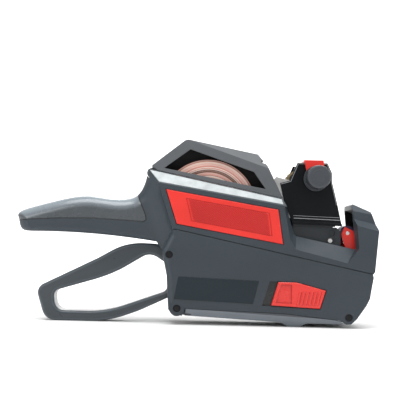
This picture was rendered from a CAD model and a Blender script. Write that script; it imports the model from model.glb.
import math
import random

import bmesh
import bpy
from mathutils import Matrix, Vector


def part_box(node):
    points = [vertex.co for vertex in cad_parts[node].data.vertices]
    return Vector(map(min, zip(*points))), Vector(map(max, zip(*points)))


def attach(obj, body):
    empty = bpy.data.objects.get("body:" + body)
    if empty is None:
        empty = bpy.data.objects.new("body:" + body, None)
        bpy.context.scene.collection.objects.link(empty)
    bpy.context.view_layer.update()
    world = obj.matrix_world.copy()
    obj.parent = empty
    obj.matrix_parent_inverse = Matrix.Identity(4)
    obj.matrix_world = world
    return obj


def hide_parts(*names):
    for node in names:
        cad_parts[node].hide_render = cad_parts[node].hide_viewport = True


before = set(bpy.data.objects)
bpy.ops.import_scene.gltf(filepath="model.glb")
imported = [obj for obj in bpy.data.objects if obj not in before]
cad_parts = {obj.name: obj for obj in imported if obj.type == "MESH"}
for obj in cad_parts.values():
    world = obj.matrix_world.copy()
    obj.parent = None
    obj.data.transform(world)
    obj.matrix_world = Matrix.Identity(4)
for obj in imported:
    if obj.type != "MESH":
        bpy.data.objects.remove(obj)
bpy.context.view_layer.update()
MM = 0.001
SIDES = ((-1, "right"), (1, "left"))
rng = random.Random(7)


# ---------------------------------------------------------------- node materials
class Look:
    """One procedural material, built on Principled BSDF. Texture sizes are in metres."""

    def __init__(self, name, rough, metallic=0.0):
        self.material = bpy.data.materials.new(name)
        self.material.use_nodes = True
        self.tree = self.material.node_tree
        self.bsdf = self.tree.nodes["Principled BSDF"]
        self.bsdf.inputs["Roughness"].default_value = rough
        self.bsdf.inputs["Metallic"].default_value = metallic
        self.place = self.add("ShaderNodeTexCoord").outputs["Object"]
        axes = self.add("ShaderNodeSeparateXYZ")
        self.feed(axes.inputs[0], self.place)
        self.x, self.y, self.z = axes.outputs

    def add(self, kind, **settings):
        node = self.tree.nodes.new(kind)
        for key, value in settings.items():
            setattr(node, key, value)
        return node

    def feed(self, socket, value):
        if isinstance(value, bpy.types.NodeSocket):
            self.tree.links.new(value, socket)
        else:
            socket.default_value = value

    def noise(self, size, detail=3.0, stretch=(1.0, 1.0, 1.0), place=None):
        mapping = self.add("ShaderNodeMapping")
        self.feed(mapping.inputs["Vector"], place or self.place)
        mapping.inputs["Scale"].default_value = stretch
        node = self.add("ShaderNodeTexNoise")
        self.feed(node.inputs["Vector"], mapping.outputs[0])
        node.inputs["Scale"].default_value = 1.0 / size
        node.inputs["Detail"].default_value = detail
        return node.outputs[0]

    def span(self, value, low, high, first=0.0, last=1.0):
        node = self.add("ShaderNodeMapRange")
        for socket, setting in zip(node.inputs, (value, low, high, first, last)):
            self.feed(socket, setting)
        return node.outputs[0]

    def calc(self, operation, a, b=0.0):
        node = self.add("ShaderNodeMath", operation=operation)
        self.feed(node.inputs[0], a)
        self.feed(node.inputs[1], b)
        return node.outputs[0]

    def mix(self, factor, a, b):
        node = self.add("ShaderNodeMix", data_type="RGBA")
        self.feed(node.inputs[0], factor)
        self.feed(node.inputs[6], a)
        self.feed(node.inputs[7], b)
        return node.outputs[2]

    def edges(self, radius):
        """Rounds the shading of edges, and returns a mask that is 1 along them."""
        bevel = self.add("ShaderNodeBevel", samples=4)
        bevel.inputs["Radius"].default_value = radius
        flat = self.add("ShaderNodeNewGeometry")
        dot = self.add("ShaderNodeVectorMath", operation="DOT_PRODUCT")
        self.feed(dot.inputs[0], bevel.outputs[0])
        self.feed(dot.inputs[1], flat.outputs["Normal"])
        self.normal = bevel.outputs[0]
        return self.span(dot.outputs["Value"], 0.995, 0.85)

    def near_lines(self, points, width):
        """Mask along a path of (x, z) points, in millimetres, which fades out half a width from it."""
        flat = self.add("ShaderNodeCombineXYZ")
        self.feed(flat.inputs[0], self.x)
        self.feed(flat.inputs[2], self.z)
        nearest = None
        for (ax, az), (bx, bz) in zip(points, points[1:]):
            start = Vector((ax * MM, 0.0, az * MM))
            run = Vector((bx * MM, 0.0, bz * MM)) - start
            off = self.vector("SUBTRACT", flat.outputs[0], start)
            share = self.calc("DIVIDE", self.vector("DOT_PRODUCT", off, run, 1), run.length_squared)
            held = self.calc("MINIMUM", self.calc("MAXIMUM", share, 0.0), 1.0)
            scale = self.add("ShaderNodeVectorMath", operation="SCALE")
            self.feed(scale.inputs[0], run)
            self.feed(scale.inputs["Scale"], held)
            gap = self.vector("LENGTH", self.vector("SUBTRACT", off, scale.outputs[0]), (0, 0, 0), 1)
            nearest = gap if nearest is None else self.calc("MINIMUM", nearest, gap)
        return self.span(nearest, width * MM * 0.3, width * MM * 0.7, 1.0, 0.0)

    def vector(self, operation, a, b, output=0):
        node = self.add("ShaderNodeVectorMath", operation=operation)
        self.feed(node.inputs[0], a)
        self.feed(node.inputs[1], b)
        return node.outputs[output]

    def true_normal(self):
        facing = self.add("ShaderNodeNewGeometry")
        axes = self.add("ShaderNodeSeparateXYZ")
        self.feed(axes.inputs[0], facing.outputs["True Normal"])
        return axes.outputs

    def bump(self, height, strength, distance):
        node = self.add("ShaderNodeBump")
        node.inputs["Strength"].default_value = strength
        node.inputs["Distance"].default_value = distance
        self.feed(node.inputs["Height"], height)
        if hasattr(self, "normal"):
            self.feed(node.inputs["Normal"], self.normal)
        self.normal = node.outputs[0]

    def finish(self, colour, rough=None):
        self.feed(self.bsdf.inputs["Base Color"], colour)
        if rough is not None:
            self.feed(self.bsdf.inputs["Roughness"], rough)
        if hasattr(self, "normal"):
            self.feed(self.bsdf.inputs["Normal"], self.normal)
        return self.material


def rgba(colour, gain=1.0):
    return tuple(min(1.0, part * gain) for part in colour) + (1.0,)


def moulded(name, colour, rough, grain=0.00045, bump=0.25, radius=0.0005, wear=1.5, seam=False, coat=0.0,
            slopes=1.0, seam_path=None, dark_inside=False, dark_below=0.0, specular=0.38, crown=1.0):
    """Injection-moulded plastic: fine spark-erosion grain, faint flow mottle, soft handled edges."""
    look = Look(name, rough)
    look.bsdf.inputs["Specular IOR Level"].default_value = specular
    edge = look.edges(radius)
    fine = look.noise(grain, 2.0)
    flow = look.noise(0.03, 4.0, (0.5, 1.0, 1.0))
    smear = look.noise(0.009, 5.0)
    base = look.mix(look.span(flow, 0.3, 0.7), rgba(colour, 0.9), rgba(colour, 1.1))
    worn = look.calc("MULTIPLY", edge, look.span(smear, 0.35, 0.65, 0.25, 0.7))
    base = look.mix(worn, base, rgba(colour, wear))
    if slopes != 1.0:
        # bevels that lean off the side walls catch more light
        lean = look.calc("ABSOLUTE", look.true_normal()[1])
        band = look.calc("MULTIPLY", look.span(lean, 0.25, 0.4), look.span(lean, 0.985, 0.93))
        base = look.mix(look.calc("MULTIPLY", band, 0.8), base, rgba(colour, slopes))
    if seam:
        line = look.span(look.calc("ABSOLUTE", look.y), 0.00008, 0.00022, 1.0, 0.0)
        base = look.mix(line, base, rgba(colour, 0.25))
    if crown != 1.0:
        # surfaces that face up are polished by the hand, and lighter
        up = look.span(look.true_normal()[2], 0.05, 0.95)
        polish = look.calc("MULTIPLY", up, look.span(flow, 0.25, 0.6, 0.6, 1.0))
        base = look.mix(polish, base, rgba(colour, crown))
    if seam_path:
        base = look.mix(look.near_lines(seam_path, 0.7), base, rgba(colour, 0.15))
    if dark_inside:
        # the dark inside: faces that look towards the mid-plane or downwards
        normal = look.true_normal()
        inward = look.span(look.calc("MULTIPLY", look.y, normal[1]), -0.002, -0.004)
        under = look.span(normal[2], -0.1, -0.2)
        base = look.mix(look.calc("MAXIMUM", inward, under), base, SHADOW)
    if dark_below:
        # whatever lies nearer the mid-plane than this
        deep = look.span(look.calc("ABSOLUTE", look.y), dark_below, dark_below - 0.0003)
        base = look.mix(deep, base, SHADOW)
    look.bump(fine, bump, 0.00006)
    look.bsdf.inputs["Coat Weight"].default_value = coat
    look.bsdf.inputs["Coat Roughness"].default_value = 0.12
    gloss = look.calc("ADD", look.span(smear, 0.3, 0.7, rough - 0.05, rough + 0.06),
                      look.calc("MULTIPLY", edge, -0.06))
    return look.finish(base, gloss)


def metal(name, colour, rough, stretch=(1.0, 1.0, 14.0), radius=0.00025):
    """Brushed or drawn metal with fine lines and small dull patches."""
    look = Look(name, rough, 1.0)
    edge = look.edges(radius)
    lines = look.noise(0.0009, 3.0, stretch)
    patch = look.noise(0.006, 4.0)
    base = look.mix(look.span(patch, 0.35, 0.7), rgba(colour), rgba(colour, 0.78))
    base = look.mix(look.calc("MULTIPLY", edge, 0.6), base, rgba(colour, 1.25))
    look.bump(lines, 0.18, 0.00004)
    return look.finish(base, look.span(lines, 0.2, 0.8, rough - 0.08, rough + 0.12))


def rubber(name, colour, rough=0.78):
    """Dull, finely pored rubber with a little dust."""
    look = Look(name, rough)
    pores = look.noise(0.0006, 4.0)
    dust = look.noise(0.004, 4.0)
    base = look.mix(look.span(dust, 0.45, 0.8), rgba(colour), rgba(colour, 1.7))
    look.bump(pores, 0.35, 0.00008)
    return look.finish(base, look.span(pores, 0.3, 0.7, rough - 0.08, rough + 0.1))


def felt(name, colour):
    """Inked felt: coarse fibres, with damp patches that shine more."""
    look = Look(name, 0.95)
    fibre = look.noise(0.0005, 6.0, (1.0, 2.5, 1.0))
    damp = look.noise(0.003, 3.0)
    base = look.mix(look.span(fibre, 0.3, 0.7), rgba(colour, 0.6), rgba(colour, 1.9))
    look.bump(fibre, 0.8, 0.0002)
    look.bsdf.inputs["Sheen Weight"].default_value = 0.4
    return look.finish(base, look.span(damp, 0.4, 0.7, 0.6, 0.95))


def paper(name, colour, pitch=0.0):
    """Label stock. With a pitch, dark gaps between labels cross the strip."""
    look = Look(name, 0.6)
    pulp = look.noise(0.0007, 5.0)
    base = look.mix(look.span(pulp, 0.3, 0.7), rgba(colour, 0.94), rgba(colour, 1.03))
    if pitch:
        share = look.calc("FRACT", look.calc("DIVIDE", look.calc("SUBTRACT", look.x, look.z), pitch))
        base = look.mix(look.span(share, 0.93, 0.95), base, rgba(BACKING))
    look.bump(pulp, 0.2, 0.00005)
    return look.finish(base)


def wound_paper(name, centre):
    """Edges of the wound label web: uneven pink, white and brown turns round the roll's axis."""
    look = Look(name, 0.55)
    off_x = look.calc("SUBTRACT", look.x, centre.x)
    off_z = look.calc("SUBTRACT", look.z, centre.z)
    squares = look.calc("ADD", look.calc("POWER", off_x, 2.0), look.calc("POWER", off_z, 2.0))
    radius = look.calc("SQRT", squares)
    radial = look.add("ShaderNodeCombineXYZ")
    look.feed(radial.inputs[0], radius)
    turns = look.noise(0.0011, 2.0, place=radial.outputs[0])
    packs = look.noise(0.0042, 2.0, place=radial.outputs[0])
    thin = look.noise(0.00045, 1.0, place=radial.outputs[0])
    base = look.mix(look.span(turns, 0.42, 0.58), rgba(PINK_EDGE), rgba(CREAM_EDGE))
    base = look.mix(look.span(packs, 0.49, 0.56), base, rgba(BROWN_EDGE))
    base = look.mix(look.span(thin, 0.55, 0.68, 0.0, 0.75), base, rgba(WHITE_EDGE))
    side = look.span(look.calc("ABSOLUTE", look.true_normal()[1]), 0.4, 0.7)
    grain = look.noise(0.001, 4.0, (1.0, 6.0, 1.0))
    outside = look.mix(look.span(grain, 0.3, 0.7), rgba(KRAFT), rgba(KRAFT_PALE))
    look.bump(look.calc("ADD", turns, thin), 0.7, 0.00025)
    return look.finish(look.mix(side, outside, base), look.span(thin, 0.3, 0.7, 0.38, 0.6))


ANTHRACITE = (0.030, 0.040, 0.049)
RED = (0.68, 0.026, 0.018)
BLACK = (0.0045, 0.0055, 0.0065)
SHADOW = (0.006, 0.006, 0.007, 1.0)
PINK_EDGE = (0.56, 0.17, 0.13)
CREAM_EDGE = (0.84, 0.70, 0.62)
BROWN_EDGE = (0.15, 0.055, 0.032)
WHITE_EDGE = (0.93, 0.88, 0.84)
KRAFT = (0.62, 0.47, 0.33)
KRAFT_PALE = (0.72, 0.58, 0.43)
BACKING = (0.36, 0.27, 0.17)
# The grip cap's joint with the handle, as (x, z) in millimetres.
CAP_SEAM = [(-182.0, 64.3), (-150.0, 66.2), (-130.0, 66.5), (-97.6, 65.0), (-96.0, 66.2), (-96.4, 69.0),
            (-103.5, 86.0)]
roll_low, roll_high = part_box("label_roll")
ROLL_CENTRE = (roll_low + roll_high) / 2

LOOKS = {
    "body": moulded("body_anthracite", ANTHRACITE, 0.42, seam=True, slopes=1.25, seam_path=CAP_SEAM),
    "upper": moulded("body_upper", ANTHRACITE, 0.42, slopes=1.45, dark_inside=True),
    "cap": moulded("cap_gloss", (0.054, 0.063, 0.070), 0.26, grain=0.0007, bump=0.1, coat=0.6,
                   seam_path=CAP_SEAM, crown=5.5),
    "trigger": moulded("trigger_plastic", (0.030, 0.038, 0.045), 0.32, grain=0.0006, bump=0.15, coat=0.3,
                       seam=True, slopes=2.0),
    "window": moulded("window_gray", (0.085, 0.092, 0.10), 0.4, slopes=1.3, dark_inside=True),
    "flap": moulded("flap_gray", (0.055, 0.062, 0.070), 0.5, grain=0.0009, bump=0.5, slopes=3.4),
    "red": moulded("red_plastic", RED, 0.34, grain=0.0005, bump=0.15, wear=1.2, coat=0.2),
    "latch": moulded("red_latch", RED, 0.3, grain=0.0008, bump=0.2, wear=1.3, coat=0.4, dark_below=0.0206),
    "red_dark": moulded("red_rib", (0.42, 0.010, 0.010), 0.4, bump=0.05, radius=0.0001, wear=1.2),
    "plate": moulded("plate_film", (0.010, 0.018, 0.024), 0.34, grain=0.0012, bump=0.05, coat=0.1,
                     specular=0.25),
    "black": moulded("black_plastic", BLACK, 0.42, wear=5.0, specular=0.12),
    "hidden_black": rubber("inner_black", (0.012, 0.012, 0.014), 0.6),
    "dark_plate": moulded("dark_plate", (0.016, 0.020, 0.024), 0.35, wear=3.0, radius=0.0002),
    "knob": moulded("knob_gray", (0.042, 0.048, 0.056), 0.38, wear=1.9, coat=0.2),
    "screw": metal("screw_black", (0.03, 0.03, 0.032), 0.45),
    "steel": metal("steel_plate", (0.60, 0.60, 0.59), 0.32),
    "bright": metal("bright_steel", (0.78, 0.78, 0.77), 0.2, (1.0, 1.0, 1.0)),
    "silver": metal("silver_paint", (0.40, 0.425, 0.43), 0.52, (8.0, 1.0, 1.0)),
    "rubber": rubber("platen_rubber", (0.028, 0.028, 0.028)),
    "band": rubber("band_rubber", (0.22, 0.17, 0.08), 0.62),
    "ink": felt("ink_felt", (0.025, 0.02, 0.06)),
    "strip": paper("label_strip", (0.80, 0.78, 0.74), 0.012),
    "roll": wound_paper("label_roll", ROLL_CENTRE),
    "card": paper("core_card", (0.46, 0.33, 0.20)),
    "line": moulded("line_print", (0.30, 0.31, 0.32), 0.45, bump=0.05),
}

NODE_LOOKS = {
    "body": ("housing_right", "housing_left"),
    "upper": ("upper_housing",),
    "cap": ("grip_cap",),
    "trigger": ("trigger",),
    "window": ("roll_cover",),
    "flap": ("floor_flap",),
    "red": ("badge_right", "badge_left", "pointer", "ink_holder"),
    "latch": ("latch",),
    "plate": ("info_plate",),
    "black": ("head_plate_right", "head_plate_left", "head_frame", "type_anvil", "label_chute"),
    "hidden_black": ("band_wheels", "guide_roller", "feed_wheel", "roll_hub_right", "roll_hub_left"),
    "knob": ("selector_knob",),
    "dark_plate": ("inner_frame_right", "inner_frame_left"),
    "screw": ("housing_screws", "floor_hinge_pin"),
    "steel": ("print_arm_right", "print_arm_left", "peel_plate", "feed_pawl", "latch_spring",
              "trigger_spring"),
    "bright": ("trigger_axle", "print_arm_pins", "cover_hinge_pin", "spring_post",
               "selector_shaft", "frame_screws", "feed_axle", "ink_arm_axle", "application_axle",
               "ink_roller_axle"),
    "rubber": ("platen", "application_roller"),
    "band": ("type_bands",),
    "ink": ("ink_roller",),
    "strip": ("label_strip",),
    "roll": ("label_roll",),
    "card": ("roll_core",),
}
for look_name, node_names in NODE_LOOKS.items():
    for node_name in node_names:
        node = bpy.data.objects[node_name]
        node.data.materials.clear()
        node.data.materials.append(LOOKS[look_name])


# ---------------------------------------------------------------- mesh helpers
def new_piece(name, mesh_builder, look, body, bevel=0.0):
    """Turn a bmesh into a piece of the object that rides on one CAD body."""
    mesh = bpy.data.meshes.new(name)
    bmesh.ops.recalc_face_normals(mesh_builder, faces=mesh_builder.faces)
    mesh_builder.to_mesh(mesh)
    mesh_builder.free()
    piece = bpy.data.objects.new(name, mesh)
    bpy.context.scene.collection.objects.link(piece)
    mesh.materials.append(LOOKS[look])
    if bevel:
        rounding = piece.modifiers.new("rounding", "BEVEL")
        rounding.width = bevel
        rounding.segments = 2
        rounding.limit_method = "ANGLE"
    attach(piece, body)
    return piece


def slab(builder, corners, shift):
    """Closed slab on a loop of corners, as thick as the shift vector."""
    lower = [builder.verts.new(corner) for corner in corners]
    upper = [builder.verts.new(Vector(corner) + shift) for corner in corners]
    builder.faces.new(lower)
    builder.faces.new(list(reversed(upper)))
    for index in range(len(corners)):
        following = (index + 1) % len(corners)
        builder.faces.new((lower[index], lower[following], upper[following], upper[index]))


def at(x, y, z):
    """A point given in millimetres."""
    return Vector((x * MM, y * MM, z * MM))


def directions(count, first=0.0):
    """Unit (x, z) pairs spread evenly round a circle, from this first angle."""
    for step in range(count):
        angle = first + 2 * math.pi * step / count
        yield math.cos(angle), math.sin(angle)


def ribbon(builder, points, width, y, shift):
    """Thin raised band along (x, z) points in millimetres, at this y."""
    for start, end in zip(points, points[1:]):
        along = Vector((end[0] - start[0], end[1] - start[1])).normalized()
        across = Vector((-along.y, along.x)) * width / 2
        a = Vector(start) - along * width / 2
        b = Vector(end) + along * width / 2
        corners = [a - across, b - across, b + across, a + across]
        slab(builder, [at(corner.x, y, corner.y) for corner in corners], shift)


def ring(builder, centre, inner, outer, y, thickness, steps=64):
    """Flat ring round (x, z) in millimetres, standing out from y by its thickness."""
    rows = []
    for direction in directions(steps):
        out = Vector(direction)
        a = Vector(centre) + out * inner
        b = Vector(centre) + out * outer
        top = y + thickness
        corners = [at(a.x, y, a.y), at(b.x, y, b.y), at(b.x, top, b.y), at(a.x, top, a.y)]
        rows.append([builder.verts.new(corner) for corner in corners])
    for first, second in zip(rows, rows[1:] + rows[:1]):
        for corner in range(4):
            following = (corner + 1) % 4
            builder.faces.new((first[corner], first[following], second[following], second[corner]))


COIL_STEPS = 20
WIRE_SIDES = 8


def coil(name, centre_y, centre_z, start_x, end_x, radius, wire, turns, body):
    """Wire spring along X in millimetres, as a tube swept round an even helix."""
    builder = bmesh.new()
    steps = turns * COIL_STEPS
    loops = []
    for step in range(steps + 1):
        share = step / steps
        angle = 2 * math.pi * turns * share
        out = Vector((0.0, math.cos(angle), math.sin(angle)))
        centre = at(start_x + (end_x - start_x) * share, centre_y, centre_z) + out * radius * MM
        loop = []
        for outward, along in directions(WIRE_SIDES):
            offset = (out * outward + Vector((along, 0, 0))) * wire * MM
            loop.append(builder.verts.new(centre + offset))
        loops.append(loop)
    for first, second in zip(loops, loops[1:]):
        for corner in range(WIRE_SIDES):
            following = (corner + 1) % WIRE_SIDES
            builder.faces.new((first[corner], first[following], second[following], second[corner]))
    builder.faces.new(loops[0])
    builder.faces.new(list(reversed(loops[-1])))
    piece = new_piece(name, builder, "steel", body)
    for face in piece.data.polygons:
        face.use_smooth = True
    return piece


# ---------------------------------------------------------------- silver facets, badge and latch
CREASE_TOP = (-88.3, 22.0, 89.6)
BEVEL_FRONT = (-8.1, 22.0, 76.6)
NECK_TOP = (-95.4, 14.85, 98.8)


def on_facet(x, z, side, lift):
    """Point on a side's sloping facet at (x, z), lifted off it by some millimetres."""
    a, b, c = [Vector(corner) for corner in (CREASE_TOP, BEVEL_FRONT, NECK_TOP)]
    normal = (b - a).cross(c - a).normalized()
    if normal.y < 0:
        normal = -normal
    y = a.y - (normal.x * (x - a.x) + normal.z * (z - a.z)) / normal.y
    point = Vector((x, y, z)) + normal * lift
    return at(point.x, side * point.y, point.z)


FACET_LIFT = 0.02
FACET_TOP = 0.20
FACET = [(-94.3, 97.9), (-10.0, 80.8), (-9.0, 77.5), (-87.8, 90.2)]
for side, label in SIDES:
    builder = bmesh.new()
    lower = [on_facet(x, z, side, FACET_LIFT) for x, z in FACET]
    upper = [on_facet(x, z, side, FACET_TOP) for x, z in FACET]
    slab(builder, lower, upper[0] - lower[0])
    new_piece(f"facet_trim_{label}", builder, "silver", "housing", 0.00006)

BADGE_FRAME = [(-70.5, 80.2), (-17.6, 71.8), (-15.6, 57.2), (-66.8, 65.8)]
BADGE_RIM_Y = 22.0
BADGE_FACE_Y = 22.26
BADGE_PITCH = 1.35
BADGE_LEAN = 0.27
BADGE_LINE = 0.4
BADGE_RIB_HEIGHT = 0.22
BADGE_RIM_HEIGHT = 0.05
BADGE_RIB_INSET = 0.9
HATCH_MARGIN = 0.02
SHORTEST_HATCH = 2.4


def hatch_lines(frame_corners, pitch, lean):
    """Parallel slanted lines that fill a parallelogram. They lean back by this share of its length."""
    top_left, top_right, low_right, low_left = [Vector(corner) for corner in frame_corners]
    margin = HATCH_MARGIN
    step = pitch / (top_right - top_left).length
    count = int((1.0 - 2 * margin + lean) / step)
    for index in range(1, count):
        foot = margin + index * step
        ends = []
        for height in (max(0.0, (foot - 1.0 + margin) / lean), min(1.0, (foot - margin) / lean)):
            share = foot - lean * height
            ends.append(low_left.lerp(low_right, share).lerp(top_left.lerp(top_right, share), height))
        if (ends[1] - ends[0]).length > SHORTEST_HATCH:
            yield ends


for side, label in SIDES:
    builder = bmesh.new()
    for start, end in hatch_lines(BADGE_FRAME, BADGE_PITCH, BADGE_LEAN):
        inset = (end - start).normalized() * BADGE_RIB_INSET
        a, b = start + inset, end - inset
        lift = at(0, side * BADGE_RIB_HEIGHT, 0)
        ribbon(builder, [(a.x, a.y), (b.x, b.y)], BADGE_LINE, side * BADGE_FACE_Y, lift)
    for start, end in zip(BADGE_FRAME, BADGE_FRAME[1:] + BADGE_FRAME[:1]):
        ribbon(builder, [start, end], BADGE_LINE, side * BADGE_RIM_Y, at(0, side * BADGE_RIM_HEIGHT, 0))
    new_piece(f"badge_ribs_{label}", builder, "red_dark", "housing")

# Shadow lines beside the latch's grip ribs, and round its thumb scoop.
LATCH_FACE_Y = -22.68
LATCH_RIBS = 6
LATCH_RIB_PITCH = 2.5
LATCH_RIB_START = 1.75
THUMB_SCOOP = [(-9.4, 26.8), (-2.7, 26.8), (-2.7, 15.3), (-12.4, 15.7)]
builder = bmesh.new()
for rib in range(LATCH_RIBS):
    foot = LATCH_RIB_START + LATCH_RIB_PITCH * rib
    ribbon(builder, [(foot, 14.5), (foot + 1.8, 22.5)], 0.45, LATCH_FACE_Y, at(0, -0.08, 0))
ribbon(builder, THUMB_SCOOP, 0.35, LATCH_FACE_Y, at(0, -0.06, 0))
new_piece("latch_lines", builder, "red_dark", "latch_slider")

# ---------------------------------------------------------------- print head trim and type
HEAD_PLATE_Y = 15.38
PLATE_EDGE = [(-10.2, 90.9), (-4.2, 92.6), (0.4, 104.0), (18.6, 104.1), (21.4, 98.2), (21.6, 92.6),
              (25.3, 78.3)]
for side, label in SIDES:
    builder = bmesh.new()
    y = side * HEAD_PLATE_Y
    shift = at(0, side * 0.12, 0)
    ribbon(builder, PLATE_EDGE, 0.35, y, shift)
    ribbon(builder, [(-1.6, 69.3), (27.5, 68.5)], 0.4, y, shift)
    ribbon(builder, [(-1.9, 70.9), (27.2, 70.1)], 0.25, y, shift)
    new_piece(f"plate_lines_{label}", builder, "line", "print_head")


def hull(points):
    """Convex hull of (x, z) points, in order round it."""
    points = sorted(set(points))

    def half(ordered):
        chain = []
        for point in ordered:
            while len(chain) > 1:
                (ax, az), (bx, bz) = chain[-2], chain[-1]
                if (bx - ax) * (point[1] - az) - (bz - az) * (point[0] - ax) > 0:
                    break
                chain.pop()
            chain.append(point)
        return chain[:-1]

    return half(points) + half(points[::-1])


# Circles, as (x, z, radius), that the type bands run round: the wheel that the knob turns, the guide
# roller, and the two lower corners of the anvil.
BAND_CIRCLES = [(11.7, 94.6, 7.35), (-0.7, 94.2, 5.15), (4.6, 68.4, 2.4), (21.4, 68.4, 2.4)]
circle_points = []
for cx, cz, radius in BAND_CIRCLES:
    for across, up in directions(72):
        circle_points.append((round(cx + radius * across, 4), round(cz + radius * up, 4)))
band_path = [Vector(point) for point in hull(circle_points)]
band_path.append(band_path[0])
TYPE_PITCH = 2.3
BAND_PITCH = 2.9
BAND_COUNT = 6
TYPE_HALF_LENGTH = 0.8
TYPE_HEIGHT = 0.28
TYPE_WIDTHS = (0.7, 0.9, 1.1)

builder = bmesh.new()
travelled = 0.0
for start, end in zip(band_path, band_path[1:]):
    step = (end - start).length
    if step == 0:
        continue
    along = (end - start) / step
    outward = Vector((along.y, -along.x))
    while travelled < step:
        foot = start + along * travelled
        for band in range(BAND_COUNT):
            middle = BAND_PITCH * (band - (BAND_COUNT - 1) / 2)
            width = rng.choice(TYPE_WIDTHS)
            a = foot - along * width / 2
            b = foot + along * width / 2
            near = middle - TYPE_HALF_LENGTH
            far = middle + TYPE_HALF_LENGTH
            corners = [at(a.x, near, a.y), at(b.x, near, b.y), at(b.x, far, b.y), at(a.x, far, a.y)]
            slab(builder, corners, at(outward.x * TYPE_HEIGHT, 0, outward.y * TYPE_HEIGHT))
        travelled += TYPE_PITCH
    travelled -= step
new_piece("type_blocks", builder, "band", "print_head")

# ---------------------------------------------------------------- knob grip and screw heads
KNOB = (11.7, 94.6)
KNOB_RIBS = 26
KNOB_RIB_HALF_WIDTH = 0.32
KNOB_RIB_ROOT = 7.15
KNOB_RIB_TIP = 7.52
KNOB_RIB_START_Y = -31.6
KNOB_RIB_LENGTH = 9.4
KNOB_FACE_Y = -33.95
KNOB_RING_INNER = 3.9
KNOB_RING_OUTER = 4.5
KNOB_RING_HEIGHT = 0.22
builder = bmesh.new()
for direction in directions(KNOB_RIBS):
    out = Vector(direction)
    across = Vector((-out.y, out.x)) * KNOB_RIB_HALF_WIDTH
    inner = Vector(KNOB) + out * KNOB_RIB_ROOT
    outer = Vector(KNOB) + out * KNOB_RIB_TIP
    corners = [inner - across, outer - across * 0.6, outer + across * 0.6, inner + across]
    foot = [at(corner.x, KNOB_RIB_START_Y, corner.y) for corner in corners]
    slab(builder, foot, at(0, KNOB_RIB_LENGTH, 0))
new_piece("knob_ribs", builder, "knob", "selector", 0.0001)


builder = bmesh.new()
ring(builder, KNOB, KNOB_RING_INNER, KNOB_RING_OUTER, KNOB_FACE_Y, -KNOB_RING_HEIGHT)
new_piece("knob_ring", builder, "knob", "selector", 0.00006)

SCREWS = [(-80.5, 44.3), (33.8, 6.9)]
SCREW_FACE_Y = 21.48
SCREW_RELIEF = 0.30
SCREW_RIM_INNER = 1.5
SCREW_RIM_OUTER = 2.2
WEDGE_HALF_WIDTH = 0.95
WEDGE_ROOT = 0.55
WEDGE_TIP = 1.6
for side, label in SIDES:
    builder = bmesh.new()
    for centre in SCREWS:
        y = side * SCREW_FACE_Y
        relief = side * SCREW_RELIEF
        ring(builder, centre, SCREW_RIM_INNER, SCREW_RIM_OUTER, y, relief, 40)
        # four wedges leave a cross recess between them
        for direction in directions(4, math.pi / 4):
            out = Vector(direction)
            across = Vector((-out.y, out.x)) * WEDGE_HALF_WIDTH
            root = Vector(centre) + out * WEDGE_ROOT
            tip = Vector(centre) + out * WEDGE_TIP
            corners = [root, tip - across, tip + across]
            slab(builder, [at(corner.x, y, corner.y) for corner in corners], at(0, relief, 0))
    new_piece(f"screw_heads_{label}", builder, "screw", "housing", 0.00005)

# ---------------------------------------------------------------- inner frame's top flange and blind hole
FLANGE = [(-2.0, 63.3), (24.0, 63.3), (23.2, 65.5), (-2.0, 65.5)]
FLANGE_Y = 11.7
FLANGE_THICKNESS = 0.7
FRAME_HOLE = (23.0, 60.3)
FRAME_HOLE_RADIUS = 2.9
FRAME_HOLE_Y = 11.07
FRAME_HOLE_THICKNESS = 0.3
for side, label in SIDES:
    builder = bmesh.new()
    foot = [at(x, side * FLANGE_Y, z) for x, z in FLANGE]
    slab(builder, foot, at(0, side * FLANGE_THICKNESS, 0))
    blind = []
    for across, up in directions(32):
        x = FRAME_HOLE[0] + FRAME_HOLE_RADIUS * across
        z = FRAME_HOLE[1] + FRAME_HOLE_RADIUS * up
        blind.append(at(x, side * FRAME_HOLE_Y, z))
    slab(builder, blind, at(0, side * FRAME_HOLE_THICKNESS, 0))
    new_piece(f"frame_flange_{label}", builder, "dark_plate", "housing", 0.00008)

# ---------------------------------------------------------------- label roll turns and springs
ROLL_FACE_Y = 10.98
INNERMOST_TURN = 17.0
OUTERMOST_TURN = 30.2
TRIGGER_COIL_INSET = 0.4
LATCH_COIL_INSET = 0.3
for side, label in SIDES:
    builder = bmesh.new()
    radius = INNERMOST_TURN
    while radius < OUTERMOST_TURN:
        width = rng.uniform(0.12, 0.45)
        ring(builder, (ROLL_CENTRE.x / MM, ROLL_CENTRE.z / MM), radius, radius + width, side * ROLL_FACE_Y,
             side * rng.uniform(0.05, 0.25), 96)
        radius += width + rng.uniform(0.2, 1.1)
    new_piece(f"roll_turns_{label}", builder, "roll", "roll")

spring_low, spring_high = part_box("trigger_spring")
spring = coil("trigger_coil", 0.0, (spring_low.z + spring_high.z) / 2 / MM,
              spring_low.x / MM + TRIGGER_COIL_INSET, spring_high.x / MM - TRIGGER_COIL_INSET,
              radius=2.4, wire=0.38, turns=26, body="housing")
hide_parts("trigger_spring")
spring_low, spring_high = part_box("latch_spring")
spring = coil("latch_coil", (spring_low.y + spring_high.y) / 2 / MM, (spring_low.z + spring_high.z) / 2 / MM,
              spring_low.x / MM + LATCH_COIL_INSET, spring_high.x / MM - LATCH_COIL_INSET,
              radius=1.65, wire=0.3, turns=7, body="housing")
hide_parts("latch_spring")

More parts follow.
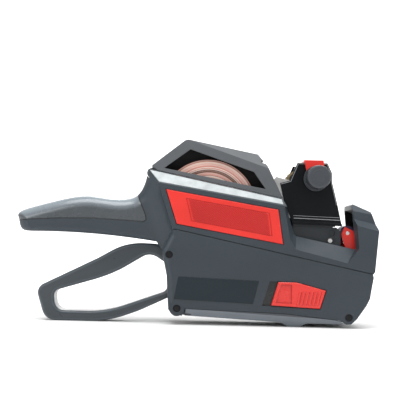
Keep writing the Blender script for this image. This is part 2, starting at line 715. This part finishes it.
# ---------------------------------------------------------------- floor, light and camera
# The backdrop, in metres: a floor that sweeps up into a wall through a quarter circle, 1 m in radius.
FLOOR_FRONT = -3.0
FLOOR_BACK = 1.4
WALL_TOP = 4.0
HALF_WIDTH = 5.0
SWEEP_STEPS = 12
builder = bmesh.new()
sweep = [(FLOOR_FRONT, 0.0), (FLOOR_BACK, 0.0)]
for step in range(1, SWEEP_STEPS + 1):
    angle = math.pi / 2 * step / SWEEP_STEPS
    sweep.append((FLOOR_BACK + math.sin(angle), 1.0 - math.cos(angle)))
sweep.append((FLOOR_BACK + 1.0, WALL_TOP))
previous = None
for y, z in sweep:
    pair = (builder.verts.new((-HALF_WIDTH, y, z)), builder.verts.new((HALF_WIDTH, y, z)))
    if previous:
        builder.faces.new((previous[0], previous[1], pair[1], pair[0]))
    previous = pair
mesh = bpy.data.meshes.new("backdrop")
builder.to_mesh(mesh)
builder.free()
backdrop = bpy.data.objects.new("backdrop", mesh)
bpy.context.scene.collection.objects.link(backdrop)
look = Look("backdrop_paper", 0.85)
cloud = look.noise(0.4, 2.0)
mesh.materials.append(look.finish(look.mix(cloud, (0.90, 0.90, 0.90, 1.0), (0.94, 0.94, 0.94, 1.0))))
for face in mesh.polygons:
    face.use_smooth = True


def softbox(name, place, target, size, watts, height=None):
    """Rectangular area light, in metres, turned towards its target."""
    data = bpy.data.lights.new(name, "AREA")
    data.shape = "RECTANGLE"
    data.size = size
    data.size_y = height or size
    data.energy = watts
    lamp = bpy.data.objects.new(name, data)
    lamp.location = place
    lamp.rotation_euler = (Vector(target) - Vector(place)).to_track_quat("-Z", "Y").to_euler()
    bpy.context.scene.collection.objects.link(lamp)


AIM = (-0.06, 0.0, 0.06)
softbox("top_light", (-0.05, -0.25, 0.95), AIM, 0.9, 7.5, 0.6)
softbox("front_left_light", (-0.75, -0.85, 0.45), AIM, 0.6, 3.2)
softbox("front_right_light", (0.75, -0.75, 0.35), AIM, 0.5, 1.4)
softbox("back_light", (0.1, 0.7, 0.6), AIM, 0.6, 3.0)
softbox("backdrop_light", (0.0, 0.9, 1.4), (0.0, 2.4, 0.6), 1.6, 42.0)

world = bpy.data.worlds.new("studio")
world.use_nodes = True
world.node_tree.nodes["Background"].inputs["Color"].default_value = (1.0, 1.0, 1.0, 1.0)
world.node_tree.nodes["Background"].inputs["Strength"].default_value = 0.55
bpy.context.scene.world = world
bpy.context.scene.view_settings.view_transform = "Standard"

camera_data = bpy.data.cameras.new("camera")
camera_data.lens = 82.5
camera_data.sensor_width = 36.0
camera_data.shift_y = 0.1025
camera = bpy.data.objects.new("camera", camera_data)
camera.location = at(-61.2, -600.0, 53.3)
camera.rotation_euler = (math.radians(90.0), math.radians(-1.3), 0.0)
bpy.context.scene.collection.objects.link(camera)
bpy.context.scene.camera = camera
